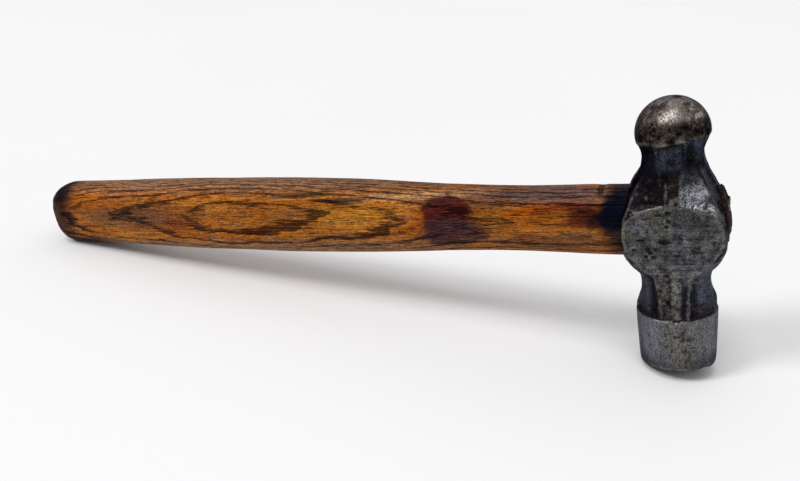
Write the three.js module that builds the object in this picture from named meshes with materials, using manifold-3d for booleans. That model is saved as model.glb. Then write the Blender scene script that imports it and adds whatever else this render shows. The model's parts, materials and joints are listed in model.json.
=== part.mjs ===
// Ball peen hammer in millimetres, +Z up, standing as it is put down on a bench: on one edge of
// the striking face and on the butt of the handle. The origin is on the bench, under the middle
// of the hammer's box. The butt points to -X and the cheeks of the head face -Y and +Y.
//
// Every piece is drawn in the hammer's own frame first: z runs up the head from the striking
// face at 0 to the top of the ball, x runs from the butt (-) to the wedged end of the handle (+),
// and y runs through the cheeks. One group then tips the whole hammer on to its resting points.
import * as THREE from 'three';
import { mergeVertices } from 'three/addons/utils/BufferGeometryUtils.js';
import Module from 'manifold-3d';

const wasm = await Module();
wasm.setup();

// ---------------------------------------------------------------- driving dimensions
const HEAD_LENGTH = 100;
const FACE_RADIUS = 11.6; // flat of the striking face
const FACE_BEVEL = 1.8; // bevel round the face, measured across
const BEVEL_HEIGHT = 2.4;
const POLL_TOP_RADIUS = 14.2; // the poll widens a little from the face to its rim
const POLL_TOP = 22.6;
const RIM_BEVEL = 0.4;
const BALL_RADIUS = 12.5;
const BALL_HEIGHT_RATIO = 0.98; // years of riveting have flattened the ball slightly
const CHEEK = 13.4; // half thickness of the head across its flat cheeks
const EYE_Z = 56.2; // axis of the eye and of the tenon above the striking face
const GAP = 0.3; // running gap between separate pieces

const HANDLE_LENGTH = 288; // head axis to butt
const HANG_DEGREES = 1.4; // the butt sits a little towards the ball
const HANG_START = -20; // the handle's axis leaves the tenon's axis here
const BUTT_ROUNDING = 13;
const SECTION_POWER = 2.5; // superellipse power of the handle's oval
const TENON_END = 19.2; // end grain of the handle, past the far side of the eye
const TENON_ROOT = -30;

const WEDGE_TIP = -3; // wooden wedge, driven into the saw kerf from the far side
const WEDGE_THICK = 3.6;
const WEDGE_TIP_THICK = 0.9;
const STEEL_TIP = 5; // steel wedges, driven across the wooden one
const STEEL_THICK = 2.6;
const STEEL_TIP_THICK = 0.7;
const STEEL_HALF_WIDTH = 5.6;
const STEEL_OFFSET = 5.4; // each side of the eye's axis

// ---------------------------------------------------------------- sections along each piece
// Forged blank between the poll and the ball: height, half extents across x and across y, and
// half widths of the flat that faces y and of the flat that faces x. Each section is octagonal.
const BLANK = [
  [19.0, 12.9, 12.9, 4.8, 4.8],
  [23.0, 13.5, 13.1, 5.2, 4.6],
  [25.4, 13.5, 13.0, 5.2, 4.7],
  [28.2, 12.6, 12.4, 5.1, 5.0],
  [31.5, 11.8, 12.0, 4.8, 5.2],
  [35.0, 11.7, 12.2, 4.3, 5.5],
  [38.5, 12.4, 12.7, 6.0, 6.0],
  [40.4, 13.5, 13.3, 7.8, 6.3],
  [42.0, 14.7, CHEEK, 9.8, 6.6],
  [44.0, 16.1, CHEEK, 12.0, 7.0],
  [46.5, 17.2, CHEEK, 14.0, 7.5],
  [50.0, 17.6, CHEEK, 16.1, 8.0],
  [54.0, 17.6, CHEEK, 16.9, 8.3],
  [58.0, 17.4, CHEEK, 16.1, 8.4],
  [62.0, 16.6, CHEEK, 13.0, 8.4],
  [64.4, 15.8, CHEEK, 8.4, 8.2],
  [65.8, 15.2, 13.3, 2.8, 7.9],
  [70.0, 13.5, 11.9, 3.0, 7.0],
  [74.0, 11.6, 10.8, 3.8, 5.7],
  [78.4, 10.2, 10.2, 4.7, 4.5],
  [81.6, 10.2, 10.3, 4.9, 4.5],
  [84.2, 11.2, 11.3, 5.0, 4.6],
  [87.0, 11.6, 11.6, 4.8, 4.6],
];

// Handle: distance along x, half height and half thickness of its oval section.
const HANDLE = [
  [-HANDLE_LENGTH, 14.4, 11.0],
  [-265, 14.8, 11.2],
  [-230, 15.5, 11.5],
  [-185, 15.9, 11.7],
  [-148, 15.8, 11.6],
  [-115, 14.8, 11.0],
  [-84, 13.2, 10.1],
  [-46, 12.4, 9.4],
  [-20, 12.8, 9.6],
  [-8, 12.8, 9.6],
];

// Eye: an hourglass, tightest in the middle of the head.
const EYE_MOUTH = 18;
const EYE = [
  [-24, 12.0, 8.6],
  [-EYE_MOUTH, 11.5, 8.1],
  [-6, 10.9, 7.5],
  [6, 10.9, 7.5],
  [EYE_MOUTH, 11.5, 8.1],
  [24, 12.0, 8.6],
];

// ---------------------------------------------------------------- geometry helpers
// Smooth curve through the rows of a table, whose first column is the position.
function between(table, position) {
  const last = table.length - 2;
  const found = table.findIndex((row, i) => i <= last && position < table[i + 1][0]);
  const i = found < 0 ? last : found;
  const [a, b] = [table[i], table[i + 1]];
  const before = table[Math.max(i - 1, 0)];
  const after = table[Math.min(i + 2, table.length - 1)];
  const span = b[0] - a[0];
  const t = THREE.MathUtils.clamp((position - a[0]) / span, 0, 1);
  return a.slice(1).map((value, k) => {
    const next = b[k + 1];
    const leave = ((next - before[k + 1]) / (b[0] - before[0])) * span;
    const arrive = ((after[k + 1] - value) / (after[0] - a[0])) * span;
    const [t2, t3] = [t * t, t * t * t];
    return value * (2 * t3 - 3 * t2 + 1) + next * (3 * t2 - 2 * t3) + leave * (t3 - 2 * t2 + t)
      + arrive * (t3 - t2);
  });
}

// Positions from the table's first to last row, with steps no longer than the one given.
function stations(table, step) {
  return table.slice(1).flatMap((row, i) => {
    const start = table[i][0];
    const count = Math.max(1, Math.round((row[0] - start) / step));
    return Array.from({ length: count }, (_, k) => start + ((row[0] - start) * k) / count);
  }).concat(table[table.length - 1][0]);
}

// Closed skin over rings of points, all wound the same way, with a fan at each end.
function loft(rings) {
  const count = rings[0].length;
  const points = rings.flat();
  const faces = [];
  for (let r = 0; r + 1 < rings.length; r++) {
    for (let k = 0; k < count; k++) {
      const [a, b] = [r * count + k, r * count + ((k + 1) % count)];
      faces.push(a, b, b + count, a, b + count, a + count);
    }
  }
  for (const [ring, flip] of [[0, true], [rings.length - 1, false]]) {
    const middle = new THREE.Vector3();
    rings[ring].forEach((point) => middle.addScaledVector(point, 1 / count));
    points.push(middle);
    for (let k = 0; k < count; k++) {
      const [a, b] = [ring * count + k, ring * count + ((k + 1) % count)];
      faces.push(points.length - 1, flip ? b : a, flip ? a : b);
    }
  }
  return new THREE.BufferGeometry().setFromPoints(points).setIndex(faces);
}

function toSolid(geometry) {
  const bare = (geometry.index ? geometry.toNonIndexed() : geometry.clone());
  bare.deleteAttribute('normal');
  bare.deleteAttribute('uv');
  const merged = mergeVertices(bare, 1e-4);
  return new wasm.Manifold(new wasm.Mesh({
    numProp: 3,
    vertProperties: merged.attributes.position.array,
    triVerts: new Uint32Array(merged.index.array),
  }));
}

function toGeometry(solid) {
  const mesh = solid.getMesh();
  const geometry = new THREE.BufferGeometry();
  geometry.setAttribute('position', new THREE.BufferAttribute(mesh.vertProperties, 3));
  geometry.setIndex(new THREE.BufferAttribute(mesh.triVerts, 1));
  geometry.computeVertexNormals();
  return geometry;
}

// ---------------------------------------------------------------- head
function octagon(z, grow = 0) {
  const [hx, hy, flatX, flatY] = between(BLANK, z);
  const [x, y] = [hx + grow, hy + grow];
  const corners = [[x, -flatY], [x, flatY], [flatX, y], [-flatX, y],
    [-x, flatY], [-x, -flatY], [-flatX, -y], [flatX, -y]];
  return corners.map(([cx, cy]) => new THREE.Vector3(cx, cy, z));
}

function blank(grow = 0) {
  return loft(stations(BLANK, 1.6).map((z) => octagon(z, grow)));
}

// Turned outline: pairs of radius and height, on the axis at both ends.
function turned(outline, segments) {
  const points = outline.map(([radius, height]) => new THREE.Vector2(radius, height));
  const geometry = new THREE.LatheGeometry(points, segments);
  geometry.rotateX(Math.PI / 2); // the lathe's own axis is y
  geometry.rotateZ(Math.PI / segments); // an edge of the rim, not a corner, faces the butt
  return geometry;
}

function poll() {
  return turned([
    [0, 0],
    [FACE_RADIUS, 0],
    [FACE_RADIUS + FACE_BEVEL, BEVEL_HEIGHT],
    [POLL_TOP_RADIUS, POLL_TOP - RIM_BEVEL],
    [POLL_TOP_RADIUS - RIM_BEVEL, POLL_TOP],
    [0, POLL_TOP],
  ], 40);
}

function ball() {
  const height = BALL_RADIUS * BALL_HEIGHT_RATIO;
  const middle = HEAD_LENGTH - height;
  const steps = 12;
  const startAngle = -0.12; // the ball ends in a sharp edge just under its widest part
  const outline = [[0, middle + height * Math.sin(startAngle)]];
  for (let i = 0; i <= steps; i++) {
    const angle = startAngle + ((Math.PI / 2 - startAngle) * i) / steps;
    const radius = i === steps ? 0 : BALL_RADIUS * Math.cos(angle);
    outline.push([radius, middle + height * Math.sin(angle)]);
  }
  return turned(outline, 40);
}

// ---------------------------------------------------------------- handle
function oval(x, centreZ, halfHeight, halfThickness, count = 40) {
  return Array.from({ length: count }, (_, k) => {
    const angle = ((k + 0.5) / count) * 2 * Math.PI;
    const [c, s] = [Math.cos(angle), Math.sin(angle)];
    const power = 2 / SECTION_POWER;
    const y = halfThickness * Math.sign(c) * Math.abs(c) ** power;
    const z = halfHeight * Math.sign(s) * Math.abs(s) ** power;
    return new THREE.Vector3(x, y, centreZ + z);
  });
}

function handleAxis(x) {
  return EYE_Z + Math.max(0, HANG_START - x) * Math.tan(THREE.MathUtils.degToRad(HANG_DEGREES));
}

function handleBody() {
  const inner = -HANDLE_LENGTH + BUTT_ROUNDING;
  const rounding = [0, 0.06, 0.18, 0.34, 0.54, 0.76].map((t) => -HANDLE_LENGTH + BUTT_ROUNDING * t);
  const along = rounding.concat(stations(HANDLE, 9).filter((x) => x >= inner));
  return loft(along.map((x) => {
    const [height, thickness] = between(HANDLE, x);
    const inset = THREE.MathUtils.clamp((inner - x) / BUTT_ROUNDING, 0, 1);
    const drop = BUTT_ROUNDING * 0.75 * (1 - Math.sqrt(1 - inset ** 2.4));
    return oval(x, handleAxis(x), height - drop, thickness - drop);
  }));
}

function eyeSpace(shrink = 0, from = EYE[0][0], to = EYE[EYE.length - 1][0]) {
  const along = stations(EYE, 4).filter((x) => x > from && x < to);
  return loft([from, ...along, to].map((x) => {
    const [height, thickness] = between(EYE, x);
    return oval(x, EYE_Z, height - shrink, thickness - shrink);
  }));
}

// Tapered block from its tip to its driven end, thick along one axis and wide along the other.
function wedge(tip, end, tipThick, endThick, halfWidth, centreZ, acrossZ, grow = 0) {
  return loft([[tip - grow, tipThick], [end, endThick]].map(([x, thick]) => {
    const [t, w] = [thick / 2 + grow, halfWidth + grow];
    const [y, z] = acrossZ ? [t, w] : [w, t];
    return [[y, -z], [y, z], [-y, z], [-y, -z]].map(
      ([cy, cz]) => new THREE.Vector3(x, cy, centreZ + cz),
    );
  }));
}

const PAST_END = TENON_END + 5;

function woodWedge(end, grow = 0) {
  const half = EYE[0][1] + 1; // past the top and bottom of the eye, to be cut to it
  return wedge(WEDGE_TIP, end, WEDGE_TIP_THICK, WEDGE_THICK, half, EYE_Z, true, grow);
}

function steelWedge(side, end, grow = 0) {
  const z = EYE_Z + side * STEEL_OFFSET;
  return wedge(STEEL_TIP, end, STEEL_TIP_THICK, STEEL_THICK, STEEL_HALF_WIDTH, z, false, grow);
}

// ---------------------------------------------------------------- pieces
const STEEL_SLOTS = [-1, 1].map((side) => toSolid(steelWedge(side, PAST_END, GAP)));

function hammerHead() {
  const solid = toSolid(blank()).add(toSolid(poll())).add(toSolid(ball()));
  return toGeometry(solid.subtract(toSolid(eyeSpace())));
}

function handle() {
  const shaped = toSolid(handleBody()).subtract(toSolid(blank(GAP)));
  const outside = shaped.decompose().sort((a, b) => b.volume() - a.volume())[0];
  let solid = outside.add(toSolid(eyeSpace(GAP, TENON_ROOT, TENON_END)));
  solid = solid.subtract(toSolid(woodWedge(PAST_END, GAP)));
  STEEL_SLOTS.forEach((slot) => { solid = solid.subtract(slot); });
  return toGeometry(solid);
}

function woodenWedge() {
  let solid = toSolid(woodWedge(PAST_END)).intersect(toSolid(eyeSpace(GAP, TENON_ROOT, TENON_END)));
  STEEL_SLOTS.forEach((slot) => { solid = solid.subtract(slot); });
  return toGeometry(solid);
}

function steelWedgePiece(side) {
  return toGeometry(toSolid(steelWedge(side, TENON_END - 0.4)));
}

// ---------------------------------------------------------------- materials
const forgedSteel = new THREE.MeshStandardMaterial({ color: 0x4b4b4e, roughness: 0.45, metalness: 0.9 });
const oiledWood = new THREE.MeshStandardMaterial({ color: 0x96602a, roughness: 0.5, metalness: 0 });
const paleWood = new THREE.MeshStandardMaterial({ color: 0x8a6a45, roughness: 0.75, metalness: 0 });
const rustySteel = new THREE.MeshStandardMaterial({ color: 0x5a463a, roughness: 0.6, metalness: 0.7 });

function piece(name, geometry, material) {
  const mesh = new THREE.Mesh(geometry, material);
  mesh.name = name;
  return mesh;
}

// ---------------------------------------------------------------- assembly, at rest on the bench
const hammer = new THREE.Group();
const head = piece('hammer_head', hammerHead(), forgedSteel);
const shaft = piece('handle', handle(), oiledWood);
hammer.add(
  head,
  shaft,
  piece('wooden_wedge', woodenWedge(), paleWood),
  piece('steel_wedge_lower', steelWedgePiece(-1), rustySteel),
  piece('steel_wedge_upper', steelWedgePiece(1), rustySteel),
);

// Lowest point of a mesh once the hammer is tipped butt down by an angle.
function lowest(mesh, angle) {
  const position = mesh.geometry.attributes.position;
  let low = Infinity;
  for (let i = 0; i < position.count; i++) {
    low = Math.min(low, position.getZ(i) * Math.cos(angle) + position.getX(i) * Math.sin(angle));
  }
  return low;
}

// The hammer tips until the butt and the edge of the face are level.
let [flat, steep] = [0, Math.PI / 4];
for (let i = 0; i < 50; i++) {
  const middle = (flat + steep) / 2;
  if (lowest(shaft, middle) > lowest(head, middle)) flat = middle;
  else steep = middle;
}
hammer.rotation.y = -flat;

const onBench = new THREE.Group();
onBench.add(hammer);
onBench.updateMatrixWorld(true);
const extent = new THREE.Box3().setFromObject(onBench, true);
const centre = extent.getCenter(new THREE.Vector3());
hammer.position.set(-centre.x, -centre.y, -extent.min.z);

export default onBench;
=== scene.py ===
"""An old ball peen hammer at rest on a pale floor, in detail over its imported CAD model.

Each piece is made of rings of points in the hammer's own frame, in millimetres: z runs up the
head from the striking face, x from the butt (-) to the wedged end (+), y through the cheeks.
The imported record's striking_face mount then places that frame in the row's frame, in metres.
"""
import json
import math

import bpy
import numpy as np
from mathutils import Matrix, Vector


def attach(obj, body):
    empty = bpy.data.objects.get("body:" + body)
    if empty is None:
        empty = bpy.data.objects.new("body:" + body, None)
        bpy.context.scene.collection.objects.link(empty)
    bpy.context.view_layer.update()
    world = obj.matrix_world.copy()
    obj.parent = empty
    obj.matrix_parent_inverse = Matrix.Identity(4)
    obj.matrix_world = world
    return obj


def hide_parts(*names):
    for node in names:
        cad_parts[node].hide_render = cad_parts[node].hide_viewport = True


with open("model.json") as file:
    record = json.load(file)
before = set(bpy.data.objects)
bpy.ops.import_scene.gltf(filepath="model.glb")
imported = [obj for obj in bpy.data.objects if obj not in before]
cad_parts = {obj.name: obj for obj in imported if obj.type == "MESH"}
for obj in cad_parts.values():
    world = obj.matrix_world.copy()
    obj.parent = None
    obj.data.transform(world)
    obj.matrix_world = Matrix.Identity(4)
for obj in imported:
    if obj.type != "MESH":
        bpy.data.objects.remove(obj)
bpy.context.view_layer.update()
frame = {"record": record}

# ---------------- the hammer's own frame
FACE_MOUNT = next(m for m in frame["record"]["mounts"] if m["name"] == "striking_face")
UP_THE_HEAD = -Vector(FACE_MOUNT["axis"])
TILT = math.atan2(-UP_THE_HEAD.x, UP_THE_HEAD.z)
TO_ROW = (Matrix.Translation(FACE_MOUNT["pos_m"]) @ Matrix.Rotation(-TILT, 4, "Y")
          @ Matrix.Scale(0.001, 4))

# ---------------- sizes, in millimetres
HEAD_LENGTH = 100
FACE_RADIUS, FACE_CROWN = 11.3, 0.22
BEVEL_RADIUS, BEVEL_HEIGHT = 13.35, 2.8
POLL_RADIUS, POLL_TOP = 14.2, 22.6
BALL_RADIUS, BALL_HEIGHT = 12.5, 12.25
BALL_START = 84.0  # where the rings begin to follow the ball
CHEEK = 13.4  # half thickness across the two flat cheeks
EYE_Z = 56.2

HANDLE_LENGTH = 288
HANG = math.tan(math.radians(1.4))  # the butt sits a little towards the ball
HANG_START = -20
BUTT_ROUNDING = 10.5
SHOULDER = -17.6
SHOULDER_START = -34  # from here the grip's rings lean towards the side of the head
TENON_END = 19.2
TENON_INSIDE = (-12.4, 13.2)  # the part of the tenon that fills the eye
STUB = 13.6  # where the part of it that stands proud begins
END_DOME = (0.010, 0.020)  # how fast a driven end falls away across y and z, per mm
END_TEARING = 0.80  # what its torn fibres may stand above the rest of it
CREVICE = 0.12  # gap between pieces that are squeezed together
SECTION_POWER = 2.5  # superellipse power of the handle's and the eye's sections
WEDGE_POWER = 9

# Forged blank, twelve-sided: height, half extents across x and y, half width of the flat facing
# y, the corner between the two slanting sides, half width of the flat facing x.
BLANK = (
    (19.0, 12.9, 12.9, 4.8, 9.4, 9.2, 4.8), (23.0, 13.6, 13.1, 4.6, 9.9, 9.4, 4.6),
    (25.4, 13.5, 12.9, 4.7, 9.9, 9.3, 4.7), (28.2, 12.5, 12.3, 4.9, 9.6, 9.0, 5.0),
    (31.5, 11.7, 11.9, 5.0, 9.3, 9.0, 5.0), (35.0, 11.6, 12.1, 5.3, 9.5, 9.3, 5.0),
    (38.5, 12.4, 12.75, 6.0, 10.6, 10.1, 5.2), (40.4, 13.5, 13.35, 7.8, 11.9, 10.8, 5.4),
    (42.0, 14.7, 13.5, 9.8, 13.3, 11.6, 5.8), (44.0, 16.1, 13.5, 12.0, 14.9, 12.0, 6.1),
    (46.5, 17.2, 13.4, 14.0, 16.2, 12.2, 6.5), (50.0, 17.6, 13.4, 15.9, 16.9, 12.2, 7.0),
    (54.0, 17.6, 13.4, 16.8, 17.3, 12.0, 7.0), (58.0, 17.4, 13.4, 16.0, 16.9, 12.3, 7.0),
    (60.5, 17.0, 13.4, 14.2, 16.2, 12.2, 6.6), (62.5, 16.5, 13.4, 11.6, 15.2, 12.0, 6.2),
    (63.8, 16.1, 13.4, 8.4, 14.6, 11.6, 6.0), (64.6, 15.8, 13.4, 5.4, 14.2, 11.3, 5.9),
    (65.3, 15.5, 13.3, 3.0, 13.9, 11.1, 5.8), (67.0, 14.8, 12.8, 2.6, 13.0, 10.5, 5.6),
    (70.0, 13.5, 11.9, 2.6, 11.2, 9.4, 5.0), (74.0, 11.6, 10.8, 3.5, 9.2, 8.3, 4.6),
    (78.4, 10.2, 10.1, 4.4, 8.0, 7.4, 4.4), (81.6, 10.1, 10.1, 4.6, 7.8, 7.4, 4.3),
    (84.0, 10.9, 10.8, 4.8, 8.4, 7.9, 4.5), (86.0, 11.7, 11.6, 4.9, 8.9, 8.5, 4.6),
    (89.0, 11.9, 11.8, 4.9, 9.0, 8.6, 4.6),
)
# Handle: place along x, half height and half thickness.
HANDLE = (
    (-HANDLE_LENGTH, 14.4, 11.0), (-265, 14.8, 11.2), (-230, 15.5, 11.5), (-185, 15.9, 11.7),
    (-148, 15.8, 11.6), (-115, 14.8, 11.0), (-84, 13.2, 10.1), (-46, 12.4, 9.4),
    (-20, 12.8, 9.6), (0, 12.8, 9.6),
)
# Eye, an hourglass: place along x, half height and half width.
EYE = ((-24, 12.2, 8.8), (-18, 11.5, 8.1), (-6, 10.9, 7.5),
       (6, 10.9, 7.5), (18, 11.5, 8.1), (24, 12.2, 8.8))
EYE_MOUTH = (11.45, 8.05)  # half height and half width where the shoulder meets it
# Wedges: tip, thickness at the tip and at the end, and half width.
WOOD_WEDGE = (-3.0, 0.9, 3.6, 12.5)
STEEL_WEDGE = (5.0, 0.7, 2.6, 5.6)
WOOD_END = TENON_END - 1.2
WOOD_DOMED = TENON_END - 1.6  # where the wooden wedge's end is fully domed
STEEL_WEDGES = (  # name, middle above the eye's, end, seed
    ("lower", -5.4, TENON_END - 1.5, 90),
    ("upper", 5.4, TENON_END - 1.3, 100),
)
SLOT_GAP, SLOT_END = 0.10, TENON_END + 4


# ---------------- curves, noise and masks
def curve(table, at):
    """Smooth curve through a table's rows, whose first column is the place, at each place."""
    rows = np.asarray(table, float)
    at = np.atleast_1d(np.asarray(at, float))
    place, values = rows[:, 0], rows[:, 1:]
    slope = np.gradient(values, place, axis=0)
    i = np.clip(np.searchsorted(place, at, side="right") - 1, 0, len(place) - 2)
    span = (place[i + 1] - place[i])[:, None]
    t = np.clip((at - place[i])[:, None] / span, 0, 1)
    return (values[i] * (2 * t**3 - 3 * t**2 + 1) + values[i + 1] * (3 * t**2 - 2 * t**3)
            + span * (slope[i] * (t**3 - 2 * t**2 + t) + slope[i + 1] * (t**3 - t**2)))


def hashed(cell, seed):
    """A number from -1 to 1 for each whole-numbered cell, the same one on every run."""
    key = (cell @ np.array([73856093, 19349663, 83492791]) + seed * 2654435761) & 0xFFFFFFFF
    key = ((key ^ (key >> 13)) * 1274126177) & 0xFFFFFFFF
    return ((key ^ (key >> 16)) & 0xFFFF) / 32767.5 - 1


def noise(points, size, seed, octaves=1):
    """Smooth noise from -1 to 1; size is how large its bumps are, in one number or one an axis."""
    total, share = 0, 1.0
    for octave in range(octaves):
        scaled = points / np.asarray(size, float) * 2**octave + 31.7 * seed
        cell = np.floor(scaled).astype(np.int64)
        t = scaled - cell
        t = t * t * (3 - 2 * t)
        for corner in np.ndindex(2, 2, 2):
            weight = np.prod(np.where(corner, t, 1 - t), axis=-1)
            total = total + share * weight * hashed(cell + np.array(corner), seed + octave)
        share *= 0.5
    return total


def smooth(value, low, high):
    """0 below low and 1 above high, with a soft step between."""
    t = np.clip((value - low) / (high - low), 0, 1)
    return t * t * (3 - 2 * t)


def fall(value, low, high):
    """1 below low and 0 above high, with a soft step between."""
    return 1 - smooth(value, low, high)


def blob(points, centre, radii, edge=0.3, seed=1, power=2):
    """1 inside an uneven ellipsoid and 0 outside, with a soft edge; a high power makes it boxy."""
    reach = np.linalg.norm((points - np.array(centre)) / np.array(radii), ord=power, axis=-1)
    ragged = 0.16 * noise(points, np.array(radii) * 0.45, seed, 2)
    return fall(reach + ragged, 1 - edge, 1 + edge)


# ---------------- meshes
def joined(name, data):
    """A new object with that data, in the scene."""
    made = bpy.data.objects.new(name, data)
    bpy.context.scene.collection.objects.link(made)
    return made


def skin(rings):
    """Points and faces of a closed skin over rings (ring, point, xyz), with a fan at each end."""
    count, around = rings.shape[:2]
    index = np.arange(count * around).reshape(count, around)
    right = np.roll(index, -1, axis=1)
    quads = np.stack([index[:-1], right[:-1], right[1:], index[1:]], axis=-1).reshape(-1, 4)
    first, last = count * around, count * around + 1
    fans = [(first, b, a) for a, b in zip(index[0], right[0])]
    fans += [(last, a, b) for a, b in zip(index[-1], right[-1])]
    points = np.vstack([rings.reshape(-1, 3), rings[0].mean(0), rings[-1].mean(0)])
    return points, quads.tolist() + fans


def solid(name, rings):
    """A mesh object in millimetres, in the hammer's frame."""
    points, faces = skin(rings)
    mesh = bpy.data.meshes.new(name)
    mesh.from_pydata(points, [], faces)
    return joined(name, mesh)


def carve(piece, *cutters):
    """Cuts the cutters out of a piece and removes them."""
    for cutter in cutters:
        boolean = piece.modifiers.new("cut", "BOOLEAN")
        boolean.operation = "DIFFERENCE"
        boolean.solver = "EXACT"
        boolean.object = cutter
    graph = bpy.context.evaluated_depsgraph_get()
    mesh = bpy.data.meshes.new_from_object(piece.evaluated_get(graph))
    piece.modifiers.clear()
    piece.data = mesh
    for cutter in cutters:
        bpy.data.objects.remove(cutter)


def coordinates(piece):
    flat = np.empty(len(piece.data.vertices) * 3)
    piece.data.vertices.foreach_get("co", flat)
    return flat.reshape(-1, 3)


def store(piece, **attributes):
    """Keeps a number or three numbers for each vertex, for the materials to read."""
    for name, values in attributes.items():
        kind, field = ("FLOAT", "value") if values.ndim == 1 else ("FLOAT_VECTOR", "vector")
        attribute = piece.data.attributes.new(name, kind, "POINT")
        attribute.data.foreach_set(field, values.astype(np.float32).ravel())


def convexity(piece, rounds):
    """How far each vertex stands out of its surroundings, in millimetres; dents are negative."""
    mesh, points = piece.data, coordinates(piece)
    pairs = np.empty(len(mesh.edges) * 2, np.int32)
    mesh.edges.foreach_get("vertices", pairs)
    a, b = pairs.reshape(-1, 2).T
    degree = np.bincount(pairs, minlength=len(points))[:, None]
    blurred = points.copy()
    for _ in range(rounds):
        total = np.zeros_like(blurred)
        np.add.at(total, a, blurred[b])
        np.add.at(total, b, blurred[a])
        blurred = total / degree
    normals = np.empty(len(points) * 3)
    mesh.vertices.foreach_get("normal", normals)
    return ((points - blurred) * normals.reshape(-1, 3)).sum(axis=1)


def finish_piece(piece, material, node, sharp_degrees=40):
    """Moves a piece from the hammer's frame to the row's, parents it to the root body and hides the
    CAD part it stands in for.
    """
    store(piece, mm=coordinates(piece))
    piece.data.transform(TO_ROW)
    piece.data.shade_smooth()
    piece.data.set_sharp_from_angle(angle=math.radians(sharp_degrees))
    piece.data.materials.clear()
    piece.data.materials.append(material)
    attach(piece, "root")
    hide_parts(node)


def cap_rings(rim, centre, shares):
    """The rim shrunk in the y-z plane towards the centre, to each share of its size."""
    return np.array([centre + (rim - centre) * np.array([1, t, t]) for t in shares])


def oval(x, centre_z, half_height, half_thickness, power, around):
    """Rings in the y-z plane, one for each x: superellipses with that power."""
    angle = (np.arange(around) + 0.5) / around * 2 * np.pi
    c, s = np.cos(angle), np.sin(angle)
    y = np.sign(c) * np.abs(c) ** (2 / power)
    z = np.sign(s) * np.abs(s) ** (2 / power)
    rings = np.empty((len(x), around, 3))
    rings[..., 0] = np.asarray(x, float)[:, None]
    rings[..., 1] = np.asarray(half_thickness)[:, None] * y
    rings[..., 2] = np.asarray(centre_z)[:, None] + np.asarray(half_height)[:, None] * z
    return rings


# ---------------- head
def blank_planes(z):
    """The blank's four kinds of side at each height: normal across x and y, and distance."""
    hx, hy, fx, dx, dy, sy = curve(BLANK, z).T
    hy = np.minimum(hy, CHEEK)
    planes = [(np.zeros_like(hx), np.ones_like(hx), hy), (np.ones_like(hx), np.zeros_like(hx), hx)]
    for (x0, y0), (x1, y1) in (((fx, hy), (dx, dy)), ((dx, dy), (hx, sy))):
        nx, ny = y0 - y1, x1 - x0
        size = np.hypot(nx, ny)
        nx, ny = nx / size, ny / size
        planes.append((nx, ny, nx * x0 + ny * y0))
    return planes


def blank_radius(angle, z):
    """Distance from the axis to the blank's skin; its corners are worn round."""
    c, s = np.abs(np.cos(angle)), np.abs(np.sin(angle))
    sharpness = 70
    total = 0
    # above the eye, the side towards the handle is a little fuller
    fuller = np.exp(-((z - 70.5) / 4.5) ** 2) * (np.cos(angle) < 0)
    for nx, ny, reach in blank_planes(z.ravel()):
        nx, ny, reach = (part.reshape(z.shape) for part in (nx, ny, reach))
        total = total + np.maximum((nx * c + ny * s) / (reach + fuller * nx**2), 0) ** sharpness
    return total ** (-1 / sharpness)


def blank_side(y, z):
    """How far the blank reaches across x at points (y, z)."""
    reach = np.full(y.shape, np.inf)
    for nx, ny, distance in blank_planes(z.ravel()):
        nx, ny, distance = (part.reshape(y.shape) for part in (nx, ny, distance))
        across = (distance - ny * np.abs(y)) / np.maximum(nx, 1e-6)
        reach = np.where(nx > 1e-3, np.minimum(reach, across), reach)
    return reach


def lip_height(angle):
    """Height of the edge under the ball, which wanders and is higher towards the wedged end."""
    x, y = np.cos(angle), np.sin(angle)
    ripple = 0.4 * np.sin(5 * angle + 0.6) * np.where(y < 0, 1, 0.4)
    return 85.7 + x * (1 - 0.4 * y) + ripple


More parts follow.
